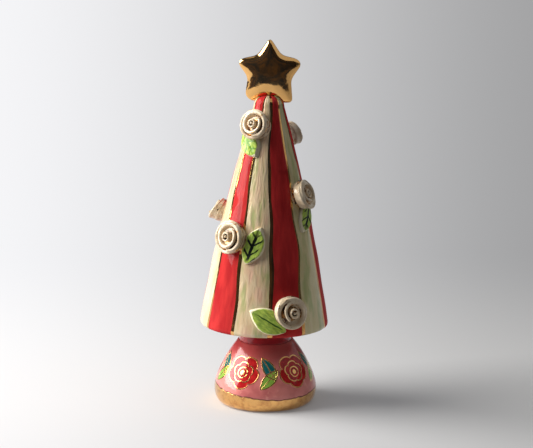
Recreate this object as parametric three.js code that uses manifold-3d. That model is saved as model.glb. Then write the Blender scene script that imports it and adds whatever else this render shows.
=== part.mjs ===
// A small ceramic Christmas tree: a hollow striped cone luted on a bell-shaped foot,
// with a puffed star on the tip and coiled clay roses, each with a leaf, round the cone.
// Millimetres, +Z up. The front faces -Y. Each piece is made with the middle of the foot at the
// origin, and the whole is then moved so that the middle of its footprint lies there.
import * as THREE from "three";
import { mergeVertices } from "three/addons/utils/BufferGeometryUtils.js";
import Module from "manifold-3d";

const wasm = await Module();
wasm.setup();

// Base: a hollow bell, open underneath
const FOOT_RADIUS = 24.2;
const FOOT_RING_WIDTH = 4.2;
const BULGE_RADIUS = 28.2;
const BULGE_HEIGHT = 8;
const BASE_HEIGHT = 34.8;
const BASE_WALL = 3.8;
const NECK_RADIUS = 15.2;
const THROAT_RADIUS = 10;

// The bell's curve: how far up it stays upright, and where it starts to draw in to the neck
const BELL_UPRIGHT_SHARE = 0.26;
const BELL_DRAW_SHARE = 0.8;
const BELL_DRAW_WIDTH_SHARE = 0.38;

// Collar: the clay ring between the base and the floor of the tree
const COLLAR_HEIGHT = 10.6;
const COLLAR_RADIUS = 14.6;
const COLLAR_WAIST = 0.7;

// Tree: a hollow cone with a floor let into its rim, leaning a little as the kiln left it
const LEAN_DEGREES = 1.4;
const TREE_SHIFT = -0.9;
const RIM_RADIUS = 35.3;
const RIM_ROUND = 2;
const RIM_RECESS = 1.6;
const CONE_HEIGHT = 118;
const TIP_RADIUS = 8.35;
const TIP_DOME = 6.3;
const CONE_BELLY = 1.9;
const CONE_WALL = 3.6;
const CONE_HOLLOW_SHARE = 0.86;
const FLOOR_THICKNESS = 3.4;
const FLOOR_LEDGE = 1.3;

// Star: the corners of its outline, measured from its middle as millimetres sideways and up,
// clockwise from the top point
const STAR_CORNERS = [
  [-0.3, 17.9],
  [6.1, 8.6],
  [14.7, 6.8],
  [17.1, 3.8],
  [11.5, -4.4],
  [12.7, -17],
  [5.8, -17.2],
  [-0.3, -12],
  [-9.3, -16.9],
  [-13.2, -13.6],
  [-11.9, -3.7],
  [-17.5, 3.9],
  [-15.3, 6.4],
  [-7, 8.2],
];
const STAR_ROUNDING = 2.6;
const STAR_THICKNESS = 9;

// How far the star's middle stands above the top of the cone's tip
const STAR_RISE = 12.9;

// Roses: shares are of a rose's own radius, heights are above the cone's side
const ROSE_WIDTH = 20;
const PAD_FOOT_SHARE = 0.8;
const PAD_RIM_SHARE = 0.97;
const PAD_THICKNESS = 3.6;
const PAD_SINK = 4.5;
const PETAL_TURNS = 2;
const PETAL_RIM_FROM = 0.62;
const PETAL_WALL_SHARE = 0.17;
const PETAL_FLARE_SHARE = 0.1;
const PETAL_INNER_HEIGHT = 6.8;
const PETAL_OUTER_HEIGHT = 5.2;
const PETAL_CROWN = 0.4;
const BUD_HEIGHT = 8;
const BUD_DIP = 0.5;
const BUD_SHARE = 0.28;

// Leaves
const LEAF_LENGTH = 20;
const LEAF_WIDTH = 12;
const LEAF_THICKNESS = 1.8;
const LEAF_DEPTH = 9;

// Clearance between two pieces that touch in the clay
const SEAM = 0.3;

// Each rose: its turn round the cone from the front, its place up the cone's side from rim
// to tip, and its size as a share of ROSE_WIDTH. Its leaf: the direction of the leaf's middle
// from the rose, how far away that is in widths of the rose, the way its tip points, and its
// length and width as shares of LEAF_LENGTH and LEAF_WIDTH. Directions are in degrees, seen
// from outside with 0 to the right and 90 up.
const SPRAYS = [
  { turn: -33, up: 0.918, size: 0.84, leaf: { side: -108, away: 0.57, aim: -48, length: 1, width: 1 } },
  { turn: 125, up: 0.865, size: 0.68, leaf: { side: -35, away: 0.77, aim: -42, length: 0.85, width: 0.83 } },
  { turn: 59, up: 0.612, size: 0.84, leaf: { side: -86, away: 0.73, aim: -125, length: 1, width: 0.92 } },
  { turn: -103, up: 0.5, size: 0.68, leaf: { side: -155, away: 0.81, aim: 170, length: 0.9, width: 0.88 } },
  { turn: -42, up: 0.417, size: 0.94, leaf: { side: -13, away: 0.7, aim: 71, length: 1.08, width: 1.03 } },
  { turn: 23.4, up: 0.102, size: 0.94, leaf: { side: -158, away: 0.68, aim: 150, length: 1.15, width: 1.12 } },
  { turn: 172, up: 0.69, size: 0.79, leaf: { side: -40, away: 0.73, aim: -62, length: 1, width: 0.96 } },
  { turn: 145, up: 0.36, size: 0.87, leaf: { side: -100, away: 0.72, aim: -75, length: 1.05, width: 1 } },
  { turn: -146, up: 0.26, size: 0.9, leaf: { side: 140, away: 0.69, aim: 118, length: 1.05, width: 1.03 } },
  { turn: 179, up: 0.08, size: 0.88, leaf: { side: -12, away: 0.74, aim: 22, length: 1.1, width: 1.05 } },
];

// Facets
const CONE_SEGMENTS = 48;
const BASE_SEGMENTS = 40;
const COLLAR_SEGMENTS = 28;
const PAD_SEGMENTS = 14;
const PETAL_STEPS_PER_TURN = 11;
const BUD_SEGMENTS = 9;
const LEAF_EDGE_SEGMENTS = 6;

const radians = THREE.MathUtils.degToRad;
const at = (r, z) => new THREE.Vector2(r, z);

const finishes = {
  baseGlaze: new THREE.MeshStandardMaterial({ color: 0xd98a8a, roughness: 0.12 }),
  collarGlaze: new THREE.MeshStandardMaterial({ color: 0x8a1518, roughness: 0.12 }),
  treeGlaze: new THREE.MeshStandardMaterial({ color: 0xc9252a, roughness: 0.1 }),
  floorGlaze: new THREE.MeshStandardMaterial({ color: 0xe8dfc8, roughness: 0.2 }),
  goldLustre: new THREE.MeshStandardMaterial({ color: 0xd9a04a, roughness: 0.12, metalness: 1 }),
  roseGlaze: new THREE.MeshStandardMaterial({ color: 0xe6dcc6, roughness: 0.18 }),
  leafGlaze: new THREE.MeshStandardMaterial({ color: 0x86b53c, roughness: 0.18 }),
};

// A closed geometry as a solid that can be cut and joined.
function solidOf(geometry) {
  const bare = geometry.clone();
  bare.deleteAttribute("normal");
  bare.deleteAttribute("uv");
  const merged = mergeVertices(bare, 1e-4);
  return new wasm.Manifold(
    new wasm.Mesh({
      numProp: 3,
      vertProperties: merged.attributes.position.array,
      triVerts: new Uint32Array(merged.index.array),
    }),
  );
}

// A cut or joined solid back as a geometry.
function geometryOf(solid) {
  const mesh = solid.getMesh();
  const geometry = new THREE.BufferGeometry();
  geometry.setAttribute("position", new THREE.BufferAttribute(mesh.vertProperties, mesh.numProp));
  geometry.setIndex(new THREE.BufferAttribute(mesh.triVerts, 1));
  return geometry;
}

function meshOf(name, geometry, finish) {
  const mesh = new THREE.Mesh(geometry, finish);
  mesh.name = name;
  return mesh;
}

// A profile turned about +Z. It runs up on the outside and down on the inside.
function turned(profile, segments) {
  return new THREE.LatheGeometry(profile, segments).rotateX(Math.PI / 2);
}

// A point of a profile curve, moved off it: outwards where the distance is positive.
function besideCurve(curve, t, distance) {
  const along = curve.getTangent(t);
  return curve.getPoint(t).add(at(along.y, -along.x).multiplyScalar(distance));
}

// The points of a profile curve between two places on it, at a distance off it.
function stretchOf(curve, from, to, steps, distance = 0) {
  return Array.from({ length: steps + 1 }, (_, i) =>
    besideCurve(curve, from + ((to - from) * i) / steps, distance),
  );
}

// Base
const upTheBell = (share) => THREE.MathUtils.lerp(BULGE_HEIGHT, BASE_HEIGHT, share);
const drawRadius = THREE.MathUtils.lerp(NECK_RADIUS, BULGE_RADIUS, BELL_DRAW_WIDTH_SHARE);
const bellCurve = new THREE.CubicBezierCurve(
  at(BULGE_RADIUS, BULGE_HEIGHT),
  at(BULGE_RADIUS, upTheBell(BELL_UPRIGHT_SHARE)),
  at(drawRadius, upTheBell(BELL_DRAW_SHARE)),
  at(NECK_RADIUS, BASE_HEIGHT),
);
const footCurve = new THREE.QuadraticBezierCurve(
  at(FOOT_RADIUS, 0),
  at(BULGE_RADIUS, 0.12 * BULGE_HEIGHT),
  at(BULGE_RADIUS, BULGE_HEIGHT),
);

function basePedestal() {
  const throatFoot = BASE_HEIGHT - BASE_WALL;
  const inside = stretchOf(bellCurve, 0.9, 0, 5, -BASE_WALL).filter(
    (p) => p.x > THROAT_RADIUS && p.y < throatFoot,
  );
  const profile = [
    ...stretchOf(footCurve, 0, 1, 4),
    ...stretchOf(bellCurve, 0, 1, 9).slice(1),
    at(THROAT_RADIUS, BASE_HEIGHT),
    at(THROAT_RADIUS, throatFoot),
    ...inside,
    at(FOOT_RADIUS - FOOT_RING_WIDTH, 0),
    at(FOOT_RADIUS, 0),
  ];
  return meshOf("base_pedestal", turned(profile, BASE_SEGMENTS), finishes.baseGlaze);
}

// The collar's top is sheared to lie under the leaning floor, and its foot stays level.
function neckCollar() {
  const height = COLLAR_HEIGHT - 2 * SEAM;
  const waist = new THREE.QuadraticBezierCurve(
    at(COLLAR_RADIUS, 0),
    at(COLLAR_RADIUS - 2 * COLLAR_WAIST, height / 2),
    at(COLLAR_RADIUS, height),
  );
  const profile = [
    at(THROAT_RADIUS, 0),
    ...stretchOf(waist, 0, 1, 4),
    at(THROAT_RADIUS, height),
    at(THROAT_RADIUS, 0),
  ];
  const geometry = turned(profile, COLLAR_SEGMENTS);
  const points = geometry.getAttribute("position");
  const slope = Math.tan(radians(LEAN_DEGREES));
  for (let i = 0; i < points.count; i++) {
    const share = points.getZ(i) / height;
    points.setZ(i, points.getZ(i) - share * slope * points.getX(i));
  }
  const mesh = meshOf("neck_collar", geometry, finishes.collarGlaze);
  mesh.position.z = BASE_HEIGHT + SEAM;
  return mesh;
}

// Tree frame: its origin is at the centre of the floor's underside.
const treeHeight = BASE_HEIGHT + COLLAR_HEIGHT;
const rimBottom = -RIM_RECESS;
const coneFoot = rimBottom + RIM_ROUND;
const coneTop = coneFoot + CONE_HEIGHT;
const coneCurve = new THREE.QuadraticBezierCurve(
  at(RIM_RADIUS, coneFoot),
  at((RIM_RADIUS + TIP_RADIUS) / 2 + 2 * CONE_BELLY, coneFoot + CONE_HEIGHT / 2),
  at(TIP_RADIUS, coneTop),
);
const tipCurve = new THREE.CubicBezierCurve(
  at(TIP_RADIUS, coneTop),
  at(0.85 * TIP_RADIUS, coneTop + 0.55 * TIP_DOME),
  at(0.5 * TIP_RADIUS, coneTop + TIP_DOME),
  at(0, coneTop + TIP_DOME),
);

// The outside of the cone from its rim to the top of the tip, at a distance off it.
function coneOutside(distance = 0) {
  const rimCurve = new THREE.QuadraticBezierCurve(
    at(RIM_RADIUS - RIM_ROUND, rimBottom),
    at(RIM_RADIUS, rimBottom),
    at(RIM_RADIUS, coneFoot),
  );
  return [
    ...stretchOf(rimCurve, 0, 1, 3, distance),
    ...stretchOf(coneCurve, 0, 1, 8, distance).slice(1),
    ...stretchOf(tipCurve, 0, 1, 4, distance).slice(1, -1),
    at(0, coneTop + TIP_DOME + distance),
  ];
}

// The cone filled up to a distance off its outside, to cut or trim what lies on it.
function filledCone(distance) {
  const outside = coneOutside(distance);
  return solidOf(turned([at(0, outside[0].y), ...outside], CONE_SEGMENTS));
}

const ledgeHeight = FLOOR_THICKNESS + SEAM;
const floorRadius = RIM_RADIUS - CONE_WALL - SEAM;

function treeCone() {
  const ledgeRadius = floorRadius - FLOOR_LEDGE;
  const inside = stretchOf(coneCurve, CONE_HOLLOW_SHARE, 0, 6, -CONE_WALL).filter(
    (p) => p.y > ledgeHeight && p.x < ledgeRadius,
  );
  const hollowTop = inside[0].y + 0.5 * inside[0].x;
  const profile = [
    at(0, hollowTop),
    ...inside,
    at(ledgeRadius, ledgeHeight),
    at(floorRadius + SEAM, ledgeHeight),
    at(floorRadius + SEAM, rimBottom),
    ...coneOutside(),
  ];
  return meshOf("tree_cone", turned(profile, CONE_SEGMENTS), finishes.treeGlaze);
}

function treeFloor() {
  const profile = [
    at(THROAT_RADIUS, 0),
    at(floorRadius, 0),
    at(floorRadius, FLOOR_THICKNESS),
    at(THROAT_RADIUS, FLOOR_THICKNESS),
    at(THROAT_RADIUS, 0),
  ];
  return meshOf("tree_floor", turned(profile, CONE_SEGMENTS), finishes.floorGlaze);
}

// The star's outline in the XZ plane, anticlockwise seen from the front, each corner rounded.
function starOutline() {
  const corners = STAR_CORNERS.map(([x, z]) => at(x, z)).reverse();
  return corners.flatMap((corner, i) => {
    const sides = [corners.at(i - 1), corners[(i + 1) % corners.length]].map((next) => {
      const reach = Math.min(STAR_ROUNDING, corner.distanceTo(next) / 2);
      return corner.clone().add(next.clone().sub(corner).setLength(reach));
    });
    return new THREE.QuadraticBezierCurve(sides[0], corner, sides[1]).getPoints(2);
  });
}

// Rings of the outline, shrunk towards the middle as each face swells.
function starGeometry() {
  const outline = starOutline();
  const rings = [1, 0.95, 0.84, 0.62, 0.3];
  const half = STAR_THICKNESS / 2;
  const swell = (share) => half * Math.cbrt(1 - share ** 3);
  const front = rings.map((share) => [share, -swell(share)]).reverse();
  const back = rings.slice(1).map((share) => [share, swell(share)]);
  const levels = [...front, ...back];
  const positions = [0, -half, 0];
  for (const [share, y] of levels) {
    for (const p of outline) positions.push(p.x * share, y, p.y * share);
  }
  positions.push(0, half, 0);
  const count = outline.length;
  const last = 1 + levels.length * count;
  const index = [];
  for (let i = 0; i < count; i++) {
    const j = (i + 1) % count;
    index.push(0, 1 + i, 1 + j);
    for (let level = 0; level + 1 < levels.length; level++) {
      const a = 1 + level * count;
      const b = a + count;
      index.push(a + i, b + j, a + j, a + i, b + i, b + j);
    }
    index.push(last, last - count + j, last - count + i);
  }
  const geometry = new THREE.BufferGeometry();
  geometry.setAttribute("position", new THREE.Float32BufferAttribute(positions, 3));
  geometry.setIndex(index);
  return geometry;
}

// The star sits astride the tip, its lower side hollowed to the dome.
function starTopper(coneCutter) {
  const rise = coneTop + TIP_DOME + STAR_RISE;
  const star = solidOf(starGeometry().translate(0, 0, rise)).subtract(coneCutter);
  return meshOf("star_topper", geometryOf(star), finishes.goldLustre);
}

// A frame on the cone's outside, with +X round the cone, +Y up its side and +Z outwards.
function frameOnCone(turn, up) {
  const place = coneCurve.getPoint(up);
  const slope = coneCurve.getTangent(up);
  const round = new THREE.Vector3(Math.cos(turn), Math.sin(turn), 0);
  const out = new THREE.Vector3(Math.sin(turn), -Math.cos(turn), 0);
  const rise = out.clone().multiplyScalar(slope.x).setZ(slope.y);
  const frame = new THREE.Matrix4().makeBasis(round, rise, round.clone().cross(rise));
  return frame.setPosition(place.x * out.x, place.x * out.y, place.y);
}

// A wall that winds outwards from the bud, leaning out as it goes.
function petalStrip(radius) {
  const wall = PETAL_WALL_SHARE * radius;
  const innerRadius = BUD_SHARE * radius + 2 * SEAM;
  const outerRadius = radius * (1 - PETAL_FLARE_SHARE) - wall;
  const steps = Math.round(PETAL_TURNS * PETAL_STEPS_PER_TURN);
  const sides = 4;
  const positions = [];
  const index = [];
  for (let i = 0; i <= steps; i++) {
    const share = i / steps;
    const angle = share * PETAL_TURNS * 2 * Math.PI;
    const inner = THREE.MathUtils.lerp(innerRadius, outerRadius, Math.min(1, share / PETAL_RIM_FROM));
    const top = THREE.MathUtils.lerp(PETAL_INNER_HEIGHT, PETAL_OUTER_HEIGHT, share);
    const flare = Math.min(1, share / PETAL_RIM_FROM) * PETAL_FLARE_SHARE * radius;
    const section = [
      [inner, PAD_THICKNESS / 2],
      [inner + wall, PAD_THICKNESS / 2],
      [inner + wall + flare, top],
      [inner + flare + 0.2 * wall, top + PETAL_CROWN],
    ];
    for (const [r, z] of section) positions.push(r * Math.cos(angle), r * Math.sin(angle), z);
  }
  for (let i = 0; i < steps; i++) {
    for (let k = 0; k < sides; k++) {
      const a = i * sides + k;
      const b = i * sides + ((k + 1) % sides);
      index.push(a, b + sides, b, a, a + sides, b + sides);
    }
  }
  const end = steps * sides;
  index.push(0, 1, 2, 0, 2, 3, end, end + 2, end + 1, end, end + 3, end + 2);
  const geometry = new THREE.BufferGeometry();
  geometry.setAttribute("position", new THREE.Float32BufferAttribute(positions, 3));
  geometry.setIndex(index);
  return geometry;
}

function roseRadius(spray) {
  return (spray.size * ROSE_WIDTH) / 2;
}

function roseMeshes(label, spray, coneCutter) {
  const radius = roseRadius(spray);
  const frame = frameOnCone(radians(spray.turn), spray.up);
  const padProfile = [
    at(0, -PAD_SINK),
    at(PAD_FOOT_SHARE * radius, -PAD_SINK),
    at(PAD_FOOT_SHARE * radius, 0),
    at(PAD_RIM_SHARE * radius, 0.8 * PAD_THICKNESS),
    at(0.95 * PAD_RIM_SHARE * radius, PAD_THICKNESS),
    at(0, PAD_THICKNESS),
  ];
  const cutter = coneCutter.transform(frame.clone().invert().elements);
  const petals = solidOf(turned(padProfile, PAD_SEGMENTS)).add(solidOf(petalStrip(radius))).subtract(cutter);

  const bud = BUD_SHARE * radius;
  const budFoot = PAD_THICKNESS + SEAM;
  const budProfile = [
    at(0, budFoot),
    at(0.9 * bud, budFoot),
    at(bud, budFoot + 0.6 * (BUD_HEIGHT - budFoot)),
    at(0.8 * bud, BUD_HEIGHT),
    at(0.45 * bud, BUD_HEIGHT - BUD_DIP),
    at(0, BUD_HEIGHT + 0.4 * BUD_DIP),
  ];
  const meshes = [
    meshOf(`rose_${label}_petals`, geometryOf(petals), finishes.roseGlaze),
    meshOf(`rose_${label}_bud`, turned(budProfile, BUD_SEGMENTS), finishes.roseGlaze),
  ];
  meshes.forEach((mesh) => mesh.applyMatrix4(frame));
  return meshes;
}

// A leaf: pointed at its tip and blunt at its foot, of one thickness over the cone's side,
// with a bite taken out of it where its rose sits.
function leafMesh(label, spray, leafSkin) {
  const turn = radians(spray.turn);
  const side = radians(spray.leaf.side);
  const away = spray.leaf.away * 2 * roseRadius(spray);
  const up = spray.up + (away * Math.sin(side)) / coneCurve.getLength();
  const across = (away * Math.cos(side)) / coneCurve.getPoint(up).x;
  const aim = new THREE.Matrix4().makeRotationZ(radians(spray.leaf.aim));
  const frame = frameOnCone(turn + across, up).multiply(aim);
  const half = (spray.leaf.length * LEAF_LENGTH) / 2;
  const width = spray.leaf.width * LEAF_WIDTH;
  const outline = new THREE.Shape()
    .moveTo(half, 0)
    .bezierCurveTo(0.5 * half, 0.5 * width, -0.3 * half, 0.8 * width, -half, 0)
    .bezierCurveTo(-0.3 * half, -0.8 * width, 0.5 * half, -0.5 * width, half, 0);
  const blank = new THREE.ExtrudeGeometry(outline, {
    depth: LEAF_DEPTH,
    bevelEnabled: false,
    curveSegments: LEAF_EDGE_SEGMENTS,
  });
  blank.translate(0, 0, LEAF_THICKNESS + 3 * SEAM - LEAF_DEPTH);

  const roseFrame = frameOnCone(turn, spray.up);
  const biteRadius = roseRadius(spray) + SEAM;
  const bite = new THREE.CylinderGeometry(biteRadius, biteRadius, 4 * LEAF_DEPTH, 2 * PAD_SEGMENTS);
  bite.rotateX(Math.PI / 2).applyMatrix4(roseFrame);

  const toLeaf = frame.clone().invert().elements;
  const leaf = solidOf(blank).intersect(leafSkin.transform(toLeaf)).subtract(solidOf(bite).transform(toLeaf));
  const mesh = meshOf(`leaf_${label}`, geometryOf(leaf), finishes.leafGlaze);
  mesh.applyMatrix4(frame);
  return mesh;
}

function tree() {
  const coneCutter = filledCone(SEAM);
  const leafSkin = filledCone(SEAM + LEAF_THICKNESS).subtract(coneCutter);
  const group = new THREE.Group();
  group.add(treeCone(), treeFloor(), starTopper(coneCutter));
  SPRAYS.forEach((spray, i) => {
    const label = String(i + 1).padStart(2, "0");
    group.add(...roseMeshes(label, spray, coneCutter), leafMesh(label, spray, leafSkin));
  });
  group.position.set(TREE_SHIFT, 0, treeHeight);
  group.rotation.y = radians(LEAN_DEGREES);
  return group;
}

const assembly = new THREE.Group();
assembly.add(basePedestal(), neckCollar(), tree());
const footprint = new THREE.Box3().setFromObject(assembly, true).getCenter(new THREE.Vector3());
assembly.position.set(-footprint.x, -footprint.y, 0);

const part = new THREE.Group();
part.add(assembly);

export default part;
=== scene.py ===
# A small ceramic Christmas tree: a hollow cone glazed in red and pearl stripes with gold lines
# between them, a gold star on its tip, coiled clay roses with a leaf each, and a painted bell
# for a foot. Metres, +Z up, the front faces -Y.
import math
from collections import namedtuple
from functools import partialmethod

import bmesh
import bpy
from mathutils import Matrix, Vector, noise
from mathutils.bvhtree import BVHTree


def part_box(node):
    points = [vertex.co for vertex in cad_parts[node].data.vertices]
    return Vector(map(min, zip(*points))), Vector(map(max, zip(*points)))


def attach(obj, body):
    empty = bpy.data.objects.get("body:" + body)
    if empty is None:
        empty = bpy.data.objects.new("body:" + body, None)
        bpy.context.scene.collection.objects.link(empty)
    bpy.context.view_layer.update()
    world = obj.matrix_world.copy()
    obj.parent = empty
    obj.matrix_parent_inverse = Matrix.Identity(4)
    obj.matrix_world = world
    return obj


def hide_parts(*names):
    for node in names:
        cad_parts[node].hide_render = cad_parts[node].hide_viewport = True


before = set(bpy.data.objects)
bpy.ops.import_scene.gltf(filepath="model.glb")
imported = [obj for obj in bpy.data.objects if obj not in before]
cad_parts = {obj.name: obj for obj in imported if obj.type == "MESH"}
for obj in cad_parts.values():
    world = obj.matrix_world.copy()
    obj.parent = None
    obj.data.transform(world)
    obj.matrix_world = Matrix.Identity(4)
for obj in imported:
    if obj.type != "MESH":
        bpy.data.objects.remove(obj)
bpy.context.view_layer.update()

# Base: a hollow bell
FOOT_RADIUS = 0.0242
FOOT_RING_WIDTH = 0.0042
BULGE_RADIUS = 0.0282
BULGE_HEIGHT = 0.008
BASE_HEIGHT = 0.0348
BASE_WALL = 0.0038
NECK_RADIUS = 0.0152
THROAT_RADIUS = 0.010
BASE_UNEVENNESS = 0.0003

# Collar between the base and the tree
COLLAR_HEIGHT = 0.0106
COLLAR_RADIUS = 0.0146
COLLAR_WAIST = 0.0007
COLLAR_UNEVENNESS = 0.0005

# Tree
LEAN = math.radians(1.4)
TREE_SHIFT = -0.0009
RIM_RADIUS = 0.0353
RIM_ROUND = 0.002
RIM_RECESS = 0.0016
CONE_HEIGHT = 0.118
TIP_RADIUS = 0.00835
TIP_DOME = 0.0063
CONE_BELLY = 0.0019
CONE_WALL = 0.0036
CONE_UNEVENNESS = 0.0003
FLOOR_THICKNESS = 0.0034
FLOOR_LEDGE = 0.0013
SEAM = 0.0003

# Stripes and the gold lines between them. A line's width is the one at the rim, and it narrows
# up the cone towards a share of it. Three lines on the front have widths of their own.
STRIPE_COUNT = 12
STRIPE_PHASE = math.radians(5.5)
STRIPE_CROWDING = 0.174
LINE_WIDTH = 0.0015
FRONT_LINE_WIDTHS = {-1: 0.0022, 0: 0.0024, 1: 0.0017}
LINE_WIDTH_AT_AXIS = 0.35
LINE_WIDTH_CHANGE = 0.45
LINE_WANDER = 0.0009
LINE_PROUD = 0.000025
STRIPE_DOME = 0.00015
LINE_STEPS = 4
STRIPE_STEPS = 10

# The side of the cone on which the pearl is painted greener, as a painted lustre sheen of the
# shaded side
SHEEN_SIDE_TURN = math.radians(50)

# Star: the corners of its outline as sideways and up from its middle
STAR_CORNERS = [
    (-0.0003, 0.0179),
    (0.0061, 0.0086),
    (0.0147, 0.0068),
    (0.0171, 0.0038),
    (0.0115, -0.0044),
    (0.0127, -0.0170),
    (0.0058, -0.0172),
    (-0.0003, -0.0142),
    (-0.0093, -0.0169),
    (-0.0132, -0.0136),
    (-0.0119, -0.0037),
    (-0.0175, 0.0039),
    (-0.0153, 0.0064),
    (-0.0070, 0.0082),
]
STAR_ROUNDING = 0.0026
STAR_THICKNESS = 0.009
STAR_PUFF = 2.5
STAR_ROUND_MIDDLE = 0.6
STAR_POINT_THINNING = 0.35
STAR_RISE = 0.0129
STAR_GRAIN = 0.00035
STAR_SMOOTHING = 12

# Roses: shares are of a rose's own radius, heights are above the cone's side
ROSE_WIDTH = 0.020
PAD_FOOT_SHARE = 0.86
PAD_RIM_SHARE = 0.93
PAD_FOOT_HEIGHT = 0.0003
PAD_THICKNESS = 0.0036
DISH_HEIGHT = 0.0038
ROSE_BEDDING = 0.0006
PETAL_TURNS = 2.4
PETAL_RIM_FROM = 0.42
PETAL_WALL_SHARE = 0.14
PETAL_FLARE_SHARE = 0.2
PETAL_SWAY = 0.1
PETAL_RIPPLE = 0.0004
PETAL_INNER_HEIGHT = 0.0071
PETAL_OUTER_HEIGHT = 0.0053
PETAL_END_TUCK = 0.0005
PETAL_SMOOTHING = 3
BUD_TURNS = 1.45
BUD_SHARE = 0.3
BUD_HEIGHT = 0.00805
BUD_LEDGE_SHARE = 0.69
BUD_END_DROP = 0.0007
BUD_TIP_DROP = 0.8
BUD_GAP = 0.0002
BUD_SMOOTHING = 2
STRIP_STEPS_PER_TURN = 44
ROSE_SKEW = 0.1
CLAY_GRAIN = 0.00026
SLIT_REACH = 0.0024

# Leaves
LEAF_LENGTH = 0.020
LEAF_WIDTH = 0.012
LEAF_THICKNESS = 0.0021
LEAF_EDGE_ROUND = 0.0011
LEAF_GROOVE_DEPTH = 0.00025
LEAF_GROOVE_WIDTH = 0.0006
LEAF_RIPPLE = 0.00025
LEAF_SINK = 0.0005
LEAF_CUT_SHARE = 0.9
LEAF_CUT_SPREAD = 0.97
LEAF_STEPS = 56
LEAF_SIDE_STEPS = 14

# Painted veins: colour, the midrib's width, and how far apart side veins are, or 0 for none
VEINS = {
    "soft_veins": ((0.14, 0.32, 0.04), 0.0011, 0.0048),
    "bold_veins": ((0.006, 0.010, 0.006), 0.0016, 0.0054),
    "thin_midrib": ((0.04, 0.13, 0.02), 0.0007, 0),
}

# Each rose: its turn round the cone from the front, its place up the side, its size as a share
# of ROSE_WIDTH, the side on which its clay strip ends, and the side on which its face stands
# higher, with by how much. Its leaf: the direction of its middle from the rose, how far away
# that is in widths of the rose, the way its tip points, its length and width as shares, and its
# painted veins. Directions are in degrees, seen from outside with 0 to the right and 90 up.
Spray = namedtuple(
    "Spray",
    "turn up size end tip_side tip leaf_side leaf_away leaf_aim leaf_length leaf_width veins",
)
SPRAYS = [
    Spray(-33, 0.918, 0.84, -84, -60, 0.0002, -108, 0.57, -48, 1.0, 1.0, "soft_veins"),
    Spray(125, 0.865, 0.68, 30, -90, 0.0012, -35, 0.77, -42, 0.85, 0.83, "soft_veins"),
    Spray(59, 0.612, 0.84, 120, -115, 0.0015, -86, 0.73, -125, 1.0, 0.92, "bold_veins"),
    Spray(-103, 0.5, 0.68, 170, -90, 0.0024, -155, 0.81, 170, 0.9, 0.88, "soft_veins"),
    Spray(-42, 0.417, 0.94, -84, 0, 0, -13, 0.7, 71, 1.08, 1.03, "bold_veins"),
    Spray(23.4, 0.102, 0.94, 90, 0, 0, -158, 0.68, 150, 1.15, 1.12, "thin_midrib"),
    Spray(172, 0.69, 0.79, -20, 0, 0, -40, 0.73, -62, 1.0, 0.96, "bold_veins"),
    Spray(145, 0.36, 0.87, 60, -60, 0.001, -100, 0.72, -75, 1.05, 1.0, "thin_midrib"),
    Spray(-146, 0.26, 0.9, 200, -100, 0.001, 140, 0.69, 118, 1.05, 1.03, "bold_veins"),
    Spray(179, 0.08, 0.88, -50, 0, 0, -12, 0.74, 22, 1.1, 1.05, "thin_midrib"),
]

# Colours, as red, green and blue in linear light
RED_GLAZE = (0.40, 0.022, 0.024)
RED_STROKES = (0.56, 0.038, 0.036)
RED_CLOUDS = (0.30, 0.016, 0.018)
PEARL_GLAZE = (0.70, 0.51, 0.29)
PEARL_STROKES = (0.80, 0.64, 0.42)
PEARL_CLOUDS = (0.64, 0.56, 0.38)
# Greener pearl for one side of the cone: a painted lustre sheen of the shaded side
PEARL_SIDE_SHEEN = (0.56, 0.56, 0.24)
PEARL_GREEN = (0.45, 0.47, 0.20)
PEARL_ROSY = (0.76, 0.49, 0.33)
GOLD_COLOUR = (0.86, 0.48, 0.16)
GOLD_THIN = (0.45, 0.20, 0.05)
GOLD_WORN = (0.64, 0.31, 0.10)
CLAY_COLOUR = (0.72, 0.66, 0.56)
CLAY_CLOUDS = (0.80, 0.76, 0.68)
CLAY_GRAINS = (0.60, 0.53, 0.44)
COLLAR_RED = (0.24, 0.010, 0.014)
COLLAR_CLOUDS = (0.40, 0.02, 0.024)
ROSE_CREAM = (0.62, 0.48, 0.31)
ROSE_CLOUDS = (0.76, 0.64, 0.46)
# Darker brown for the roses' hollows: partly a brown stain, partly painted shade
ROSE_STAIN_AND_SHADE = (0.40, 0.22, 0.08)
ROSE_BROWN = (0.07, 0.025, 0.013)
ROSE_AMBER = (0.60, 0.29, 0.07)
LEAF_GREEN = (0.28, 0.45, 0.08)
LEAF_LIME = (0.56, 0.71, 0.12)
LEAF_YELLOW = (0.76, 0.80, 0.18)
LEAF_EDGE = (0.80, 0.74, 0.52)
BASE_PINK = (0.50, 0.13, 0.125)
BASE_CLOUDS = (0.72, 0.25, 0.22)
BASE_STROKES = (0.86, 0.44, 0.34)
BASE_SHOULDER = (0.34, 0.02, 0.025)
ROSETTE_RED = (0.38, 0.010, 0.012)
ROSETTE_STROKES = (0.56, 0.02, 0.02)
BAND_EDGE = (0.10, 0.02, 0.02)

# How fast brush strokes change up the side
BRUSH_SCALE = 9

# The frieze on the base. The rosettes have an outer and an inner ring of petals, as a share of
# the radius and a turn. A sprig has two leaves: slant, height from the middle and colour.
ROSETTE_COUNT = 5
ROSETTE_PHASE = math.radians(41)
ROSETTE_RADIUS = 0.0096
ROSETTE_HEIGHT = 0.0212
ROSETTE_RINGS = [(1.0, 0.3), (0.62, 0.3 + math.pi / 5)]
SPRIG_LENGTH = 0.0074
SPRIG_WIDTH = 0.0030
SPRIG_LEAVES = [
    (math.radians(118), 0.0026, (0.012, 0.13, 0.13)),
    (math.radians(48), -0.0036, (0.24, 0.42, 0.06)),
]
PAINTED_LINE = 0.0007
PAINT_SHAKE = 0.0011
BAND_HEIGHT = 0.0103
BAND_TILT = 0.003
BAND_TILT_TURN = math.radians(30)

# The photograph's view, for an image of 533 by 448
IMAGE_WIDTH = 533
FOCAL_PIXELS = 1678.8
SENSOR_WIDTH = 36
CAMERA_PLACE = Vector((0.00149, -0.90119, 0.27164))
CAMERA_AIM = Vector((0.00149, -0.00119, 0.09926))

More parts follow.
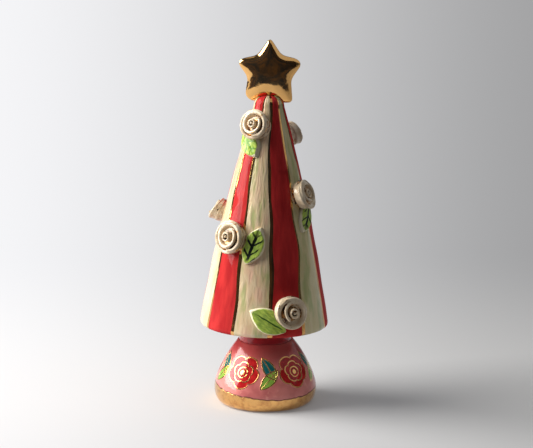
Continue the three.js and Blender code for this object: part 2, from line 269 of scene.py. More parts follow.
# Light
WINDOW_TURN = math.radians(-92)
WINDOW_RISE = math.radians(29)
WINDOW_SIZE = 2.0
WINDOW_POWER = 160
WINDOW_COLOUR = (1.0, 0.98, 0.95)
WALL_TURN = math.radians(110)
WALL_RISE = math.radians(60)
WALL_SIZE = 5.0
WALL_POWER = 36
WALL_COLOUR = (0.95, 0.97, 1.0)
ROOM_COLOUR = (1.0, 1.0, 1.02)
ROOM_LIGHT = 0.05
LAMPS_AIM = Vector((0, 0, 0.1))
LAMPS_DISTANCE = 2.5

# Stage: a pale floor, greyer on the right as painted shade, and dark cloths in front of the part
FLOOR_RADIUS = 6
FLOOR_LEFT = (0.72, 0.72, 0.73)
FLOOR_RIGHT_SHADED = (0.47, 0.47, 0.47)
GLOW_FROM = -0.1
GLOW_FULL = 0.42
GLOW_LEFT = (0.93, 0.93, 0.95)
GLOW_RIGHT = (0.355, 0.355, 0.36)
CLOTH_COLOUR = (0.02, 0.028, 0.055)
# Paler patches on the flat cloth: painted light and shade of folds it does not have
CLOTH_PALE_PATCHES = (0.09, 0.065, 0.05)
CLOTH_MIRRORED_FROM = 0.42
CLOTH_SHADING_FROM = 0.12
CLOTH_FAR = 1.35
CLOTH_LIFT = 0.002
CLOTH_HEIGHT = 1.7
CLOTH_WIDTH = 3.0


# Curves and meshes
def bezier(points, t):
    """The point at t of a Bezier curve with any number of control points."""
    points = [Vector(p) for p in points]
    while len(points) > 1:
        points = [a.lerp(b, t) for a, b in zip(points, points[1:])]
    return points[0]


def tangent(points, t):
    """The unit direction of the curve at t."""
    steps = [Vector(b) - Vector(a) for a, b in zip(points, points[1:])]
    return bezier(steps, t).normalized()


def beside(points, t, distance):
    """A point of a profile curve, moved off it: outwards where the distance is positive."""
    along = tangent(points, t)
    return bezier(points, t) + Vector((along.y, -along.x)) * distance


def stretch(points, first, last, steps, distance=0.0):
    """Points along a part of a profile curve, from first to last."""
    return [beside(points, first + (last - first) * i / steps, distance) for i in range(steps + 1)]


def lerp(a, b, share):
    return a + (b - a) * share


def clamp(value):
    """The value, kept between 0 and 1."""
    return max(0.0, min(1.0, value))


def around(turn, radius, height):
    """A point at a turn from the front, anticlockwise seen from above."""
    return Vector((radius * math.sin(turn), -radius * math.cos(turn), height))


def evenly(count):
    """Turns evenly round an axis."""
    return [2 * math.pi * i / count for i in range(count)]


def skin(rows, closed=False):
    """Points and faces through rows that run round a loop. A row of one point is a tip, and
    with closed the last row is joined to the first."""
    starts = []
    points = []
    for row in rows:
        starts.append(len(points))
        points.extend(row)
    pairs = [(i, i + 1) for i in range(len(rows) - 1)]
    if closed:
        pairs.append((len(rows) - 1, 0))
    faces = []
    for a, b in pairs:
        for i in range(max(len(rows[a]), len(rows[b]))):
            low = [starts[a] + k % len(rows[a]) for k in (i, i + 1)]
            high = [starts[b] + k % len(rows[b]) for k in (i + 1, i)]
            faces.append(list(dict.fromkeys(low + high)))
    return points, faces


def new_mesh(points, faces):
    mesh = bpy.data.meshes.new("shape")
    mesh.from_pydata(points, [], faces)
    mesh.polygons.foreach_set("use_smooth", [True] * len(mesh.polygons))
    return mesh


def put(name, data):
    """A new object in the scene."""
    thing = bpy.data.objects.new(name, data)
    bpy.context.collection.objects.link(thing)
    return thing


def without_bubbles(mesh):
    """The mesh with only its largest connected skin, without the hollows shut inside."""
    work = bmesh.new()
    work.from_mesh(mesh)
    unseen = set(work.verts)
    skins = []
    while unseen:
        front = [unseen.pop()]
        found = []
        while front:
            vertex = front.pop()
            found.append(vertex)
            ends = {edge.other_vert(vertex) for edge in vertex.link_edges} & unseen
            unseen -= ends
            front += ends
        skins.append(found)
    skins.sort(key=len)
    bubbles = [vertex for found in skins[:-1] for vertex in found]
    bmesh.ops.delete(work, geom=bubbles, context="VERTS")
    work.to_mesh(mesh)
    work.free()
    return mesh


def melted(mesh, grain, smoothing):
    """Overlapping lumps joined into one skin, as wet clay and glaze do."""
    lump = put("lump", mesh)
    remesh = lump.modifiers.new("melt", "REMESH")
    remesh.mode = "VOXEL"
    remesh.voxel_size = grain
    remesh.use_smooth_shade = True
    smooth = lump.modifiers.new("soften", "SMOOTH")
    smooth.factor = 0.5
    smooth.iterations = smoothing
    seen = lump.evaluated_get(bpy.context.evaluated_depsgraph_get())
    result = bpy.data.meshes.new_from_object(seen)
    bpy.data.objects.remove(lump)
    return without_bubbles(result)


def add_piece(name, mesh, place, finishes, node):
    """Puts a mesh in its place on the part, where it stands for a CAD node."""
    mesh.name = name
    mesh.transform(place)
    mesh.materials.clear()
    for finish in finishes:
        mesh.materials.append(finish.material)
    piece = put(name, mesh)
    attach(piece, "root")
    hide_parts(node)


def set_attribute(mesh, name, values):
    """Stores a number at each point of a mesh, for its finish to read."""
    attribute = mesh.attributes.new(name, "FLOAT", "POINT")
    attribute.data.foreach_set("value", values)


# Shader graphs
def feed(tree, socket, value):
    """Sets a socket to a number or colour, or links it to a value that varies."""
    if isinstance(value, Value):
        value = value.socket
    if isinstance(value, bpy.types.NodeSocket):
        tree.links.new(value, socket)
    elif isinstance(value, tuple) and socket.type == "RGBA":
        socket.default_value = (*value, 1)
    else:
        socket.default_value = value


def add_node(tree, kind, inputs, **settings):
    """A shader node. Its inputs are by name or number, and its settings are its own."""
    node = tree.nodes.new("ShaderNode" + kind)
    for name, value in settings.items():
        setattr(node, name, value)
    for key, value in inputs.items():
        feed(tree, node.inputs[key], value)
    return node


class Value:
    """A number that varies over a surface: arithmetic on it adds shader nodes."""

    def __init__(self, tree, socket):
        self.tree = tree
        self.socket = socket

    def math(self, operation, *others):
        inputs = dict(enumerate((self, *others)))
        node = add_node(self.tree, "Math", inputs, operation=operation)
        return Value(self.tree, node.outputs[0])

    __add__ = partialmethod(math, "ADD")
    __sub__ = partialmethod(math, "SUBTRACT")
    __mul__ = partialmethod(math, "MULTIPLY")
    __truediv__ = partialmethod(math, "DIVIDE")
    __abs__ = partialmethod(math, "ABSOLUTE")
    power = partialmethod(math, "POWER")
    at_least = partialmethod(math, "MAXIMUM")

    def fade(self, low, high):
        """0 at low and 1 at high, smooth between them."""
        inputs = {"Value": self, "From Min": low, "From Max": high}
        node = add_node(self.tree, "MapRange", inputs, interpolation_type="SMOOTHSTEP")
        return Value(self.tree, node.outputs[0])

    def within(self, width, softness):
        """1 where the number lies within half the width of nought, 0 elsewhere."""
        return abs(self).fade(width / 2 + softness, width / 2 - softness)


class Finish:
    """One material and the graph that paints it."""

    def __init__(self, name, **settings):
        self.material = bpy.data.materials.new(name)
        self.material.use_nodes = True
        self.tree = self.material.node_tree
        self.shader = self.tree.nodes["Principled BSDF"]
        self.place = add_node(self.tree, "TexCoord", {}).outputs["Object"]
        self.set(**settings)

    def set(self, **settings):
        """Sets shader sockets: base_color=... sets Base Color."""
        for name, value in settings.items():
            words = name.replace("_", " ").title().replace("Ior", "IOR")
            feed(self.tree, self.shader.inputs[words], value)

    def value(self, socket):
        return Value(self.tree, socket)

    def coordinates(self):
        """The object's own coordinates, as three numbers."""
        split = add_node(self.tree, "SeparateXYZ", {0: self.place})
        return [self.value(out) for out in split.outputs]

    def attribute(self, name):
        """A number that the mesh stores at each point."""
        node = add_node(self.tree, "Attribute", {}, attribute_name=name)
        return self.value(node.outputs["Fac"])

    def vector(self, x, y, z):
        return add_node(self.tree, "CombineXYZ", {0: x, 1: y, 2: z}).outputs[0]

    def noise(self, scale, detail=2.0, roughness=0.5, vector=None):
        """Clouds from 0 to 1, over the object's own coordinates or another vector."""
        inputs = {"Scale": scale, "Detail": detail, "Roughness": roughness}
        inputs["Vector"] = vector or self.place
        return self.value(add_node(self.tree, "TexNoise", inputs).outputs[0])

    def mix(self, share, first, second):
        """The first colour where the share is 0 and the second where it is 1."""
        inputs = {0: share, 6: first, 7: second}
        return add_node(self.tree, "Mix", inputs, data_type="RGBA").outputs[2]

    def paint(self, share, first, second):
        """Gives the surface the mixed colour."""
        self.set(base_color=self.mix(share, first, second))

    def bump(self, height, distance):
        """Fine relief in the shading, as deep as the distance."""
        node = add_node(self.tree, "Bump", {"Height": height, "Distance": distance})
        self.set(normal=node.outputs[0])


def round_the_axis(finish, foot, lean):
    """The turn round an axis that stands on foot, the distance from it and the height, and a
    vector that is stretched up the side for brush strokes."""
    x, y, z = finish.coordinates()
    z = z - foot.z
    x = x - foot.x - z * math.tan(lean)
    y = y - foot.y
    turn = x.math("ARCTAN2", y * -1)
    radius = (x * x + y * y).math("SQRT")
    brushed = finish.vector(x / radius, y / radius, z * BRUSH_SCALE)
    return turn, radius, z, brushed


# Finishes
def red_glaze():
    finish = Finish("red_glaze", specular_ior_level=0.0, roughness=0.22)
    finish.set(coat_weight=0.14, coat_roughness=0.04)
    _, _, _, brushed = round_the_axis(finish, tree_place.translation, LEAN)
    strokes = finish.noise(7, 3, vector=brushed)
    clouds = finish.noise(90)
    red = finish.mix(strokes.fade(0.3, 0.7), RED_GLAZE, RED_STROKES)
    finish.paint(clouds.fade(0.62, 0.8), red, RED_CLOUDS)
    finish.bump(strokes * 0.7 + clouds * 0.3, 0.0006)
    return finish


def pearl_glaze():
    finish = Finish("pearl_glaze", specular_ior_level=0.35, roughness=0.24)
    finish.set(coat_weight=1.0, coat_roughness=0.05)
    turn, _, _, brushed = round_the_axis(finish, tree_place.translation, LEAN)
    strokes = finish.noise(10, 3, 0.6, brushed)
    tints = finish.noise(6, 3, vector=brushed)
    clouds = finish.noise(70)
    cream = finish.mix(strokes.fade(0.3, 0.7), PEARL_GLAZE, PEARL_STROKES)
    # Painted sheen: the pearl turns greener on one side of the cone, as the lustre looks there in
    # shade
    side_sheen = (turn - SHEEN_SIDE_TURN).within(1.2, 0.4)
    cream = finish.mix(side_sheen * 0.5, cream, PEARL_SIDE_SHEEN)
    greened = finish.mix((tints + side_sheen * 0.04).fade(0.50, 0.70), cream, PEARL_GREEN)
    rosy = finish.mix((side_sheen * 0.12 + tints).fade(0.48, 0.32), greened, PEARL_ROSY)
    finish.paint(clouds.fade(0.6, 0.8), rosy, PEARL_CLOUDS)
    finish.bump(strokes * 0.7 + clouds * 0.3, 0.0008)
    return finish


def gold_lustre(name, patchiness, unevenness):
    """Mirroring gold, thin and brown in patches, with a relief as deep as its unevenness."""
    finish = Finish(name, metallic=1.0, coat_weight=0.3, coat_roughness=0.05)
    clouds = finish.noise(220, 3)
    swell = finish.noise(120)
    worn = clouds.fade(0.75 - patchiness, 0.9)
    finish.paint(worn, GOLD_COLOUR, GOLD_THIN)
    finish.set(roughness=clouds * 0.12 + 0.04)
    finish.bump(swell * 0.8 + clouds * 0.2, unevenness)
    return finish


def bare_clay():
    finish = Finish("bare_clay", roughness=0.85)
    grain = finish.noise(900, 4, 0.7)
    clouds = finish.noise(60)
    pale = finish.mix(clouds.fade(0.35, 0.65), CLAY_COLOUR, CLAY_CLOUDS)
    finish.paint(grain.fade(0.55, 0.75), pale, CLAY_GRAINS)
    finish.bump(grain, 0.0003)
    return finish


def collar_glaze():
    finish = Finish("collar_glaze", specular_ior_level=0.1, roughness=0.2)
    finish.set(coat_weight=1.0, coat_roughness=0.05)
    clouds = finish.noise(160, 3)
    finish.paint(clouds.fade(0.3, 0.7), COLLAR_RED, COLLAR_CLOUDS)
    finish.bump(clouds, 0.0006)
    return finish


def rose_glaze():
    """Cream, darker and browner down between the petals, partly a brown stain and partly painted
    shade, with dabs of brown and gold that lie mostly down there.
    """
    finish = Finish("rose_glaze", specular_ior_level=0.1, coat_weight=0.7, coat_roughness=0.05)
    hollow = finish.attribute("hollow")
    clouds = finish.noise(260, 3)
    dabs = finish.noise(300)
    cream = finish.mix(clouds.fade(0.35, 0.65), ROSE_CREAM, ROSE_CLOUDS)
    # Painted shade and brown stain: the cream darkens where clay near by blocks the looks out of
    # the rose
    stained_and_shaded = finish.mix(hollow.fade(0.1, 0.7), cream, ROSE_STAIN_AND_SHADE)
    dab = (hollow * 0.9 + dabs * 0.9).fade(0.55, 0.67)
    brown = finish.mix(clouds.fade(0.4, 0.6), ROSE_BROWN, ROSE_AMBER)
    finish.paint(dab, stained_and_shaded, brown)
    finish.set(metallic=dab * 0.7, roughness=clouds * 0.2 + 0.12)
    finish.bump(clouds, 0.0005)
    return finish


def leaf_glaze(name, vein_colour, vein_width, vein_spacing):
    """Lime green with a bare cream edge, a midrib and, where there are any, side veins. They
    slant from the midrib towards the tip, taper, and stop short of the edge."""
    finish = Finish(name, specular_ior_level=0.1, roughness=0.3)
    finish.set(coat_weight=0.25, coat_roughness=0.05)
    along = finish.attribute("along")
    across = finish.attribute("across")
    edge = finish.attribute("edge")
    wobble = finish.noise(300) - 0.5
    brushed = finish.vector(along * 250, across * 900, 0)
    strokes = finish.noise(1, 3, 0.6, brushed)
    green = finish.mix(strokes.fade(0.35, 0.65), LEAF_GREEN, LEAF_LIME)
    green = finish.mix(strokes.fade(0.6, 0.75), green, LEAF_YELLOW)
    offset = across + wobble * 0.0012
    reach = along.fade(0.011, 0.004) * along.fade(-0.0105, -0.007)
    veins = offset.within(vein_width, 0.00015) * reach
    if vein_spacing:
        side = abs(offset)
        slanted = along - side * 1.1 + across * 0.35 + wobble * 0.002
        lines = (slanted / vein_spacing + 0.15).math("PINGPONG", 0.5)
        taper = (side * -0.035 + vein_width / vein_spacing * 0.42).at_least(0.0)
        branch = (lines - taper).fade(0.035, -0.02) * side.fade(0.0042, 0.0034)
        veins = veins.at_least(branch * reach)
    painted = finish.mix(veins, green, vein_colour)
    to_tip = along.fade(0.005, 0.010) * 0.3
    bare = (edge + wobble * 0.6 - to_tip).fade(0.34, 0.14)
    finish.paint(bare, painted, LEAF_EDGE)
    finish.bump(strokes * 0.6 + veins * -0.4, 0.0004)
    return finish


def rosette_masks(x, y):
    """Masks of a rosette round the origin of x and y: its red petals, and its gold dot, circle
    and lines round both rings of petals."""
    reach = (x * x + y * y).math("SQRT") / ROSETTE_RADIUS
    angle = y.math("ARCTAN2", x)
    gold = (reach - 0.1).fade(0.06, 0.02)
    gold = gold.at_least(abs(reach - 0.3).fade(0.045, 0.02))
    rings = []
    for size, shift in ROSETTE_RINGS:
        petals = abs((angle + shift).math("MULTIPLY", 2.5).math("COSINE")).power(0.45)
        rings.append(reach / (petals * 0.26 + 0.74) / size)
        line = (rings[-1] - 1).within(PAINTED_LINE / ROSETTE_RADIUS / size, 0.02)
        gold = gold.at_least(line)
    return rings[0].fade(1.01, 0.98), gold


def sprig_masks(x, y, slant):
    """Masks of one painted leaf: the leaf and its gold outline and midrib."""
    along = x * math.cos(slant) + y * math.sin(slant)
    across = y * math.cos(slant) - x * math.sin(slant)
    belly = (along / SPRIG_LENGTH).power(2) * -SPRIG_WIDTH + SPRIG_WIDTH
    off_edge = abs(across) - belly
    ends = abs(along).fade(SPRIG_LENGTH * 1.04, SPRIG_LENGTH)
    leaf = off_edge.fade(0.0001, -0.0001) * ends
    outline = off_edge.within(PAINTED_LINE, 0.00015) * ends
    midrib = across.within(PAINTED_LINE * 0.7, 0.00015) * leaf
    return leaf, outline.at_least(midrib)


def base_glaze():
    """Pink, with a frieze of rosettes and pairs of leaves over a gold band round the foot."""
    finish = Finish("base_glaze", specular_ior_level=0.1, coat_weight=0.4, coat_roughness=0.04)
    turn, radius, z, _ = round_the_axis(finish, base_place.translation, 0)
    shake = (finish.noise(200) - 0.5) * PAINT_SHAKE
    clouds = finish.noise(70, 3)
    strokes = finish.noise(330, 3, 0.6)
    half_tile = math.pi / ROSETTE_COUNT
    up_side = (z - ROSETTE_HEIGHT) * 1.15 + shake
    rosette_turn = (turn - ROSETTE_PHASE).math("WRAP", half_tile, -half_tile)
    sprig_turn = (turn - ROSETTE_PHASE - half_tile).math("WRAP", half_tile, -half_tile)
    red, gold = rosette_masks(rosette_turn * radius + shake, up_side)

    pink = finish.mix(clouds.fade(0.35, 0.65), BASE_PINK, BASE_CLOUDS)
    colour = finish.mix(strokes.fade(0.6, 0.8) * 0.5, pink, BASE_STROKES)
    # The base turns darker red towards its top, under the collar
    darker_to_top = (z + clouds * 0.008).fade(BASE_HEIGHT - 0.009, BASE_HEIGHT + 0.003)
    colour = finish.mix(darker_to_top * 0.85, colour, BASE_SHOULDER)
    across = sprig_turn * radius + shake
    for slant, lift, leaf_colour in SPRIG_LEAVES:
        leaf, lines = sprig_masks(across, up_side - lift, slant)
        colour = finish.mix(leaf, colour, leaf_colour)
        gold = gold.at_least(lines)
    deep = finish.mix(strokes.fade(0.4, 0.7), ROSETTE_RED, ROSETTE_STROKES)
    colour = finish.mix(red, colour, deep)

    band_top = (turn - BAND_TILT_TURN).math("COSINE") * -BAND_TILT + BAND_HEIGHT
    over_band = z - band_top + shake * 1.6
    colour = finish.mix(over_band.within(0.0009, 0.0003), colour, BAND_EDGE)
    gold = gold.at_least(over_band.fade(0.00015, -0.00015))
    worn = finish.mix(strokes.fade(0.42, 0.68), GOLD_COLOUR, GOLD_WORN)
    finish.paint(gold, colour, worn)
    finish.set(metallic=gold, roughness=strokes * 0.12 + 0.1)
    finish.bump(clouds * 0.6 + strokes * 0.3 + gold * 0.25, 0.0008)
    return finish


# Places: the base stands on its own axis, and the tree leans on top of it
foot_low, foot_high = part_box("base_pedestal")
base_place = Matrix.Translation(((foot_low.x + foot_high.x) / 2, (foot_low.y + foot_high.y) / 2, 0))
tree_place = (
    base_place
    @ Matrix.Translation((TREE_SHIFT, 0, BASE_HEIGHT + COLLAR_HEIGHT))
    @ Matrix.Rotation(LEAN, 4, "Y")
)

# Profiles, as radius and height
BELL_CURVE = [
    (BULGE_RADIUS, BULGE_HEIGHT),
    (BULGE_RADIUS, lerp(BULGE_HEIGHT, BASE_HEIGHT, 0.26)),
    (lerp(NECK_RADIUS, BULGE_RADIUS, 0.38), lerp(BULGE_HEIGHT, BASE_HEIGHT, 0.8)),
    (NECK_RADIUS, BASE_HEIGHT),
]
FOOT_CURVE = [
    (FOOT_RADIUS, 0),
    (BULGE_RADIUS, 0.12 * BULGE_HEIGHT),
    (BULGE_RADIUS, BULGE_HEIGHT),
]
RIM_BOTTOM = -RIM_RECESS
CONE_FOOT = RIM_BOTTOM + RIM_ROUND
CONE_TOP = CONE_FOOT + CONE_HEIGHT
CONE_CURVE = [
    (RIM_RADIUS, CONE_FOOT),
    ((RIM_RADIUS + TIP_RADIUS) / 2 + 2 * CONE_BELLY, CONE_FOOT + CONE_HEIGHT / 2),
    (TIP_RADIUS, CONE_TOP),
]
RIM_CURVE = [
    (RIM_RADIUS - RIM_ROUND, RIM_BOTTOM),
    (RIM_RADIUS, RIM_BOTTOM),
    (RIM_RADIUS, CONE_FOOT),
]
TIP_CURVE = [
    (TIP_RADIUS, CONE_TOP),
    (0.96 * TIP_RADIUS, CONE_TOP + 0.75 * TIP_DOME),
    (0.66 * TIP_RADIUS, CONE_TOP + TIP_DOME),
    (0, CONE_TOP + TIP_DOME),
]
CONE_SIDE = stretch(CONE_CURVE, 0, 1, 200)
CONE_SIDE_LENGTH = sum((a - b).length for a, b in zip(CONE_SIDE, CONE_SIDE[1:]))


def cone_radius(height):
    return bezier(CONE_CURVE, clamp((height - CONE_FOOT) / CONE_HEIGHT)).x


def frame_on_cone(turn, up):
    """A frame on the cone's side: X round the cone, Y up its side and Z outwards."""
    place = bezier(CONE_CURVE, up)
    slope = tangent(CONE_CURVE, up)
    across = Vector((math.cos(turn), math.sin(turn), 0))
    out = around(turn, 1, 0)
    rise = out * slope.x + Vector((0, 0, slope.y))
    result = Matrix((across, rise, across.cross(rise))).transposed().to_4x4()
    result.translation = around(turn, place.x, place.y)
    return result


# Cone: each face has one of these finishes
RED, PEARL, GOLD, CLAY = range(4)


def stripe_turn(stripe):
    """The turn at which a stripe starts. The stripes are a little closer on the front: the turn
    depends on itself, and a few rounds settle it."""
    turn = 0.0
    for _ in range(8):
        turn = (stripe + STRIPE_CROWDING * math.sin(turn)) * 2 * math.pi / STRIPE_COUNT
    return turn + STRIPE_PHASE


def wander(line, height):
    """How far a hand-painted line strays sideways at a height."""
    return LINE_WANDER * 2 * noise.noise(Vector((line * 7.3, height * 45, 0.5)))


def striped_columns(radius, height):
    """The turn, lift and finish of each column of points round the cone at one height."""
    columns = []
    half = STRIPE_COUNT // 2
    edges = []
    for line in range(-half, half + 1):
        named = line if line < half else -half
        width = FRONT_LINE_WIDTHS.get(named, LINE_WIDTH)
        width *= 1 + LINE_WIDTH_CHANGE * noise.noise(Vector((named * 3.1, height * 60, 4.5)))
        width *= lerp(LINE_WIDTH_AT_AXIS, 1, radius / RIM_RADIUS)
        middle = stripe_turn(line) + wander(named, height) / radius
        edges.append((middle - width / 2 / radius, middle + width / 2 / radius))
    for index, line in enumerate(range(-half, half)):
        start, end = edges[index]
        following = edges[index + 1][0]
        for k in range(LINE_STEPS):
            share = k / LINE_STEPS
            lift = LINE_PROUD * math.sin(math.pi * share)
            columns.append((lerp(start, end, share), lift, GOLD))
        paint = RED if line % 2 == 0 else PEARL
        for k in range(STRIPE_STEPS):
            share = k / STRIPE_STEPS
            lift = STRIPE_DOME * (1 - (2 * share - 1) ** 4)
            columns.append((lerp(end, following, share), lift, paint))
    return columns


def cone_rows():
    """Rows of points up the cone's outside, from under its rim to the middle of the tip."""
    outside = [
        *stretch(RIM_CURVE, 0, 1, 6),
        *stretch(CONE_CURVE, 0, 1, 130)[1:],
        *stretch(TIP_CURVE, 0, 1, 12)[1:-1],
    ]
    rows = []
    for place in outside:
        row = []
        for turn, lift, _ in striped_columns(max(place.x, TIP_RADIUS), place.y):
            spot = around(turn, place.x, place.y)
            unevenness = CONE_UNEVENNESS * noise.noise(spot * 70) - CONE_UNEVENNESS / 2
            row.append(around(turn, place.x + unevenness + lift, place.y))
        rows.append(row)
    rows.append([Vector((0, 0, CONE_TOP + TIP_DOME))])
    return rows


def hollow_rows():
    """Rows of points down the cone's hollow and over the recess for its floor, to the rim."""
    ledge = FLOOR_THICKNESS + SEAM
    recess_radius = RIM_RADIUS - CONE_WALL
    ledge_radius = recess_radius - SEAM - FLOOR_LEDGE
    inside = [
        p
        for p in stretch(CONE_CURVE, 0.86, 0, 12, -CONE_WALL)
        if p.y > ledge and p.x < ledge_radius
    ]
    profile = [
        *inside,
        Vector((ledge_radius, ledge)),
        Vector((recess_radius, ledge)),
        Vector((recess_radius, RIM_BOTTOM)),
    ]
    turns = [turn for turn, _, _ in striped_columns(RIM_RADIUS, RIM_BOTTOM)]
    rows = [[around(turn, p.x, p.y) for turn in turns] for p in profile]
    top = Vector((0, 0, inside[0].y + 0.5 * inside[0].x))
    return [[top], *rows]


def tree_cone():
    """The cone with its stripes and lines, and bare clay inside."""
    outside = cone_rows()
    inside = hollow_rows()
    paints = [paint for _, _, paint in striped_columns(RIM_RADIUS, 0)]
    inner_faces = (len(inside) - 1) * len(paints)
    finishes = [red_glaze(), pearl_glaze(), gold_lustre("gold_lines", 0.4, 0.0002), bare_clay()]
    mesh = new_mesh(*skin([*inside, *outside]))
    add_piece("striped_cone", mesh, tree_place, finishes, "tree_cone")
    for index, face in enumerate(mesh.polygons):
        face.material_index = CLAY if index < inner_faces else paints[index % len(paints)]


def clay_floor():
    """The cone's floor keeps its CAD mesh, in bare clay."""
    floor_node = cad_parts["tree_floor"]
    floor_node.data.materials.clear()
    floor_node.data.materials.append(bare_clay().material)


# Base and collar
def uneven(spot, amount, scale):
    """A point moved off its axis a little, as hand-formed clay is."""
    flat = Vector((spot.x, spot.y, 0))
    return spot + flat.normalized() * amount * noise.noise(spot * scale)


def base_bell():
    """The hollow bell, glazed outside and bare inside."""
    throat_foot = BASE_HEIGHT - BASE_WALL
    inside = [
        p
        for p in stretch(BELL_CURVE, 0.9, 0, 12, -BASE_WALL)
        if p.x > THROAT_RADIUS and p.y < throat_foot
    ]
    outside = [*stretch(FOOT_CURVE, 0, 1, 14), *stretch(BELL_CURVE, 0, 1, 60)[1:]]
    rest = [
        Vector((THROAT_RADIUS, BASE_HEIGHT)),
        Vector((THROAT_RADIUS, throat_foot)),
        *inside,
        Vector((FOOT_RADIUS - FOOT_RING_WIDTH, 0)),
    ]
    turns = evenly(160)
    rows = [[uneven(around(t, p.x, p.y), BASE_UNEVENNESS, 60) for t in turns] for p in outside]
    rows[0] = [around(t, FOOT_RADIUS, 0) for t in turns]
    rows += [[around(t, p.x, p.y) for t in turns] for p in rest]
    mesh = new_mesh(*skin(rows, closed=True))
    finishes = [base_glaze(), bare_clay()]
    add_piece("painted_base", mesh, base_place, finishes, "base_pedestal")
    glazed = len(outside) * len(turns)
    for index, face in enumerate(mesh.polygons):
        face.material_index = 0 if index < glazed else 1


def collar():
    """A ring with a slight waist. Its top is cut to the tree's lean."""
    height = COLLAR_HEIGHT - SEAM
    waist = [
        (COLLAR_RADIUS, 0),
        (COLLAR_RADIUS - 2 * COLLAR_WAIST, height / 2),
        (COLLAR_RADIUS, height),
    ]
    throat = [Vector((THROAT_RADIUS, height)), Vector((THROAT_RADIUS, 0))]
    profile = [*stretch(waist, 0, 1, 16), *throat]
    rows = []
    for p in profile:
        row = []
        for turn in evenly(96):
            spot = around(turn, p.x, p.y)
            if p.x > THROAT_RADIUS:
                spot = uneven(spot, COLLAR_UNEVENNESS, 110)
            spot.z -= p.y / height * math.tan(LEAN) * spot.x
            row.append(spot)
        rows.append(row)
    mesh = new_mesh(*skin(rows, closed=True))
    place = base_place @ Matrix.Translation((0, 0, BASE_HEIGHT))
    add_piece("red_collar", mesh, place, [collar_glaze()], "neck_collar")


# Star
def star_outline(steps):
    """The outline with each corner rounded, anticlockwise seen from the front."""
    corners = [Vector(c) for c in reversed(STAR_CORNERS)]
    outline = []
    for i, corner in enumerate(corners):
        after = corners[(i + 1) % len(corners)]
        ends = []
        for neighbour in (corners[i - 1], after):
            way = neighbour - corner
            reach = min(STAR_ROUNDING, way.length / 2)
            ends.append(corner + way.normalized() * reach)
        outline += stretch([ends[0], corner, ends[1]], 0, 1, steps)
        if (after - corner).length / 2 > STAR_ROUNDING:
            far = after + (corner - after).normalized() * STAR_ROUNDING
            outline += [ends[1].lerp(far, k / steps) for k in range(1, steps)]
    return outline


def star():
    """A puffed star, rounder towards the middle of each face and thinner at the points."""
    outline = star_outline(6)
    half = STAR_THICKNESS / 2
    count = 26
    shares = [math.sin(math.pi / 2 * i / count) for i in range(1, count + 1)]
    levels = [(s, -half * math.sqrt(1 - s**STAR_PUFF)) for s in shares]
    levels += [(s, -y) for s, y in reversed(levels[:-1])]
    rise = CONE_TOP + TIP_DOME + STAR_RISE
    mean = sum(p.length for p in outline) / len(outline)
    shortest = min(p.length for p in outline)
    longest = max(p.length for p in outline)
    rows = [[Vector((0, -half, rise))]]
    for share, y in levels:
        row = []
        for p in outline:
            spot = p.normalized() * lerp(mean, p.length, share**STAR_ROUND_MIDDLE) * share
            pointed = (p.length - shortest) / (longest - shortest)
            thickness = 1 - STAR_POINT_THINNING * share**2 * pointed
            row.append(Vector((spot.x, y * thickness, spot.y + rise)))
        rows.append(row)
    rows.append([Vector((0, half, rise))])
    mesh = melted(new_mesh(*skin(rows)), STAR_GRAIN, STAR_SMOOTHING)
    finish = gold_lustre("star_gold", 0.05, 0.0003)
    add_piece("gold_star", mesh, tree_place, [finish], "star_topper")


# Roses
def closed_tube(sections):
    """A tube through sections of points, closed at both ends."""
    points, faces = skin(sections)
    count = len(sections[0])
    faces.append(list(range(count))[::-1])
    faces.append(list(range(len(points) - count, len(points))))
    return points, faces


def lathe(profile, count):
    """A turned lump: the profile is pairs of radius and height, from the axis to the axis."""
    turns = evenly(count)
    rows = [[around(t, r, z) for t in turns] if r else [Vector((0, 0, z))] for r, z in profile]
    return skin(rows)


def joined(*lumps):
    """Several lumps' points and faces as one."""
    points = []
    faces = []
    for lump_points, lump_faces in lumps:
        faces += [[i + len(points) for i in face] for face in lump_faces]
        points += lump_points
    return points, faces


def wound_strip(path, end_angle, turns):
    """A clay strip wound round the rose's axis, clockwise from the middle out. The path gives,
    at each share of its length, the strip's inner radius, wall, outward lean, foot and top, and
    how much of the lean its foot fills."""
    sections = []
    steps = int(turns * STRIP_STEPS_PER_TURN)
    for i in range(steps + 1):
        share = i / steps
        angle = end_angle + (1 - share) * turns * 2 * math.pi
        radius, wall, lean, foot, top, fill = path(share)
        lip = 0.75 * wall
        outline = [
            (radius, foot),
            (radius + wall + fill * lean, foot),
            (radius + wall + lerp(0.45, 0.9, fill) * lean, lerp(foot, top, 0.6)),
            (radius + wall + lean, top - lip),
            (radius + wall + 0.9 * lean, top - 0.35 * lip),
            (radius + 0.6 * wall + 0.85 * lean, top),
            (radius + 0.1 * wall + 0.75 * lean, top - 0.1 * lip),
            (radius - 0.1 * wall + 0.6 * lean, top - 0.7 * lip),
            (radius + 0.2 * lean, lerp(foot, top, 0.45)),
        ]
        sections.append([Vector((r * math.cos(angle), r * math.sin(angle), z)) for r, z in outline])
    return closed_tube(sections)


